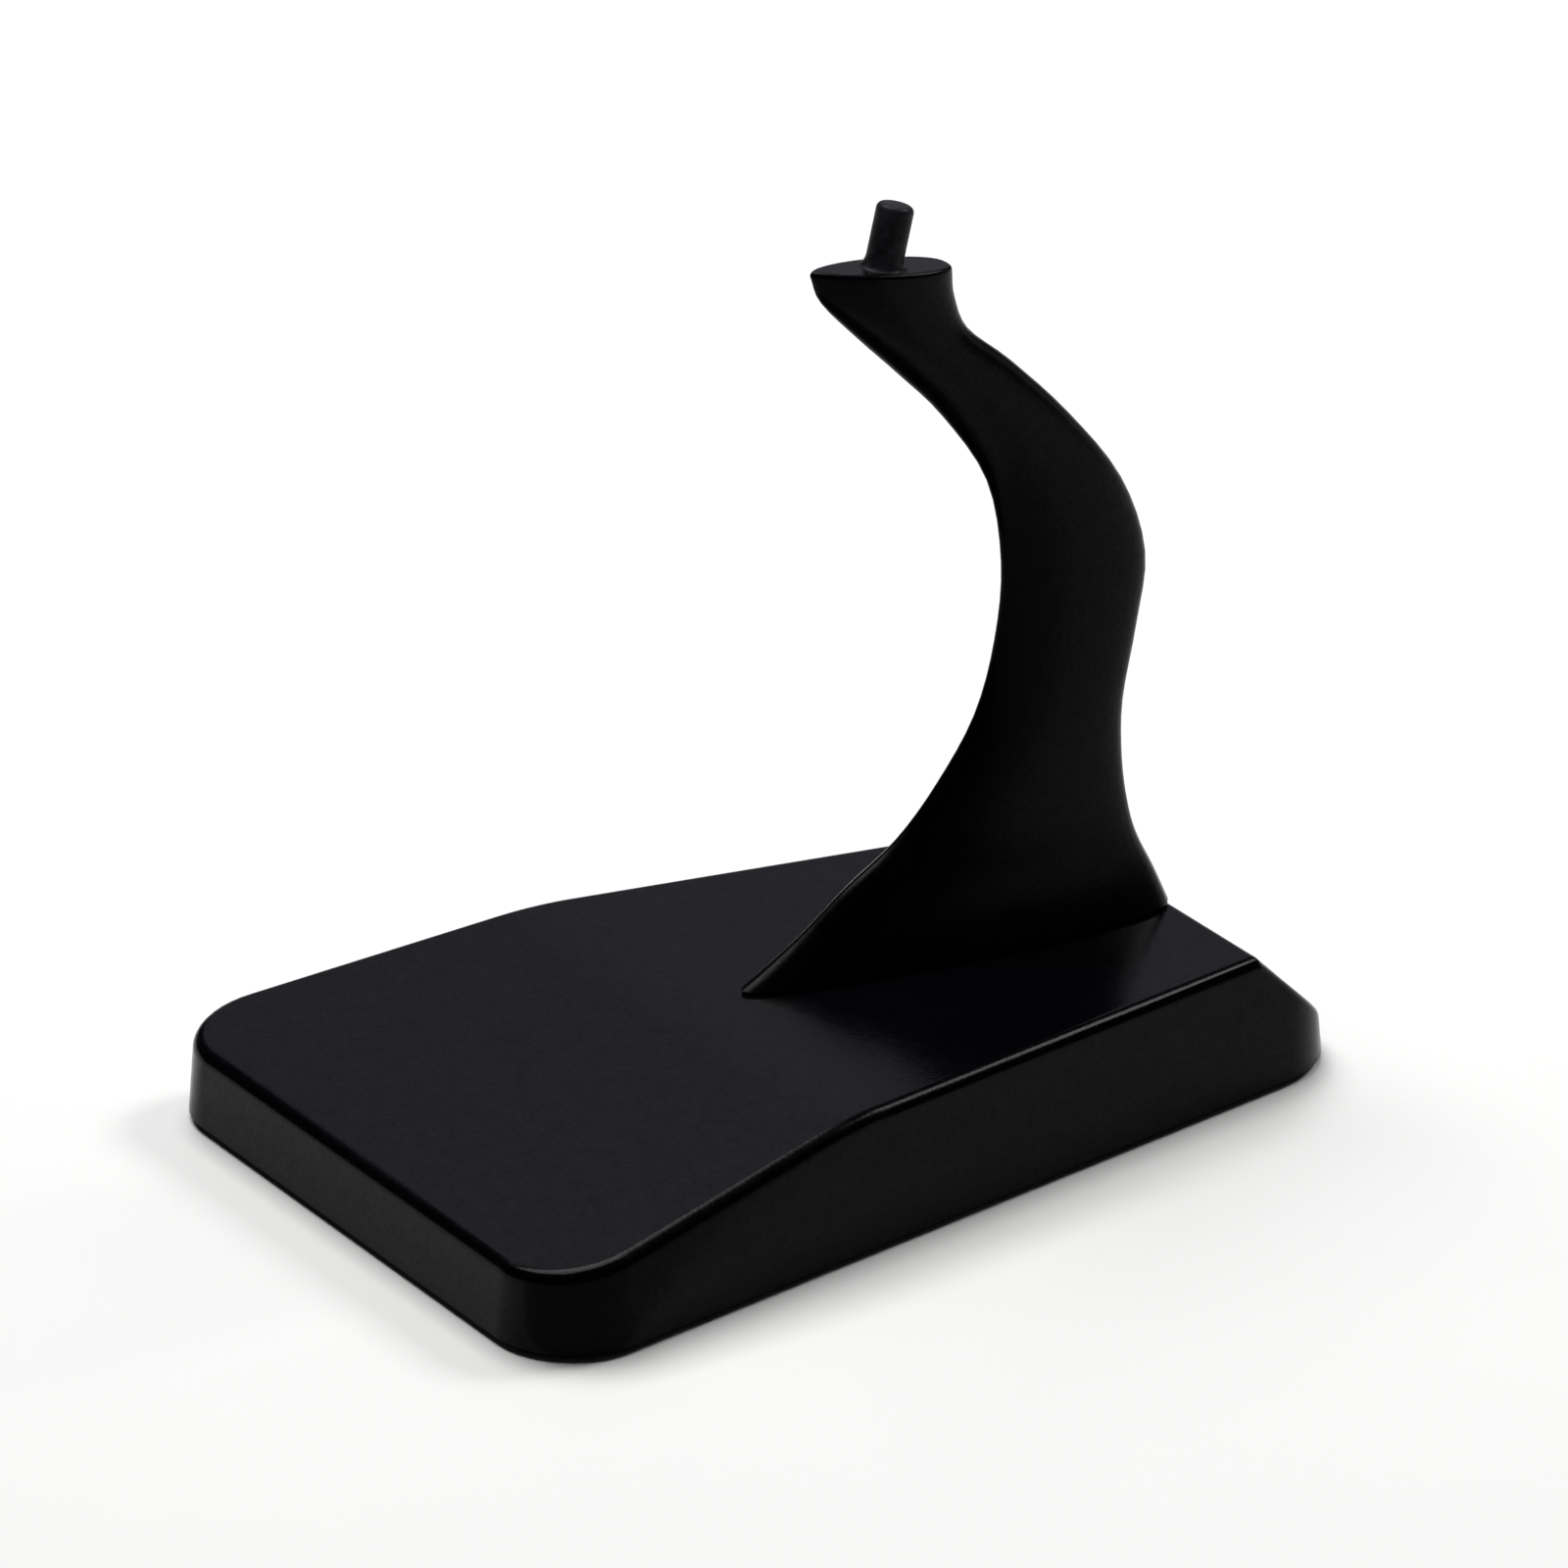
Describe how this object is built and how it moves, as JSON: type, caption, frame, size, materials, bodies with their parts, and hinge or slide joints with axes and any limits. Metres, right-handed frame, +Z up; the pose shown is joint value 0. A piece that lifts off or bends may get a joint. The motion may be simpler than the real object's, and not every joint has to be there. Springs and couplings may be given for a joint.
{
  "type": "model display stand",
  "caption": "Desk display stand for a small model aircraft: ramped trapezoid base, plug-in swan neck, tilted pad and belly peg.",
  "frame": {"origin": "on the table, under the middle of the base", "axes": "+Z up; the low front edge of the base faces -Y; +X is to the right seen from the front; X=0 is the mirror plane"},
  "size_m": [0.0628, 0.09, 0.0807],
  "materials": {
    "base_plastic": "satin black moulded",
    "neck_plastic": "satin black moulded",
    "peg_steel": "blackened steel",
    "foot_rubber": "matt black rubber"
  },
  "bodies": {
    "base": {"base_shell": "base_plastic", "foot_front_left": "foot_rubber", "foot_front_right": "foot_rubber", "foot_rear_left": "foot_rubber", "foot_rear_right": "foot_rubber"},
    "neck": {"neck": "neck_plastic", "peg": "peg_steel"}
  },
  "joints": [
    {"name": "neck_lift", "type": "slide", "parent": "base", "child": "neck", "axis": [0, 0, 1], "range_m": [0, 0.012]}
  ]
}
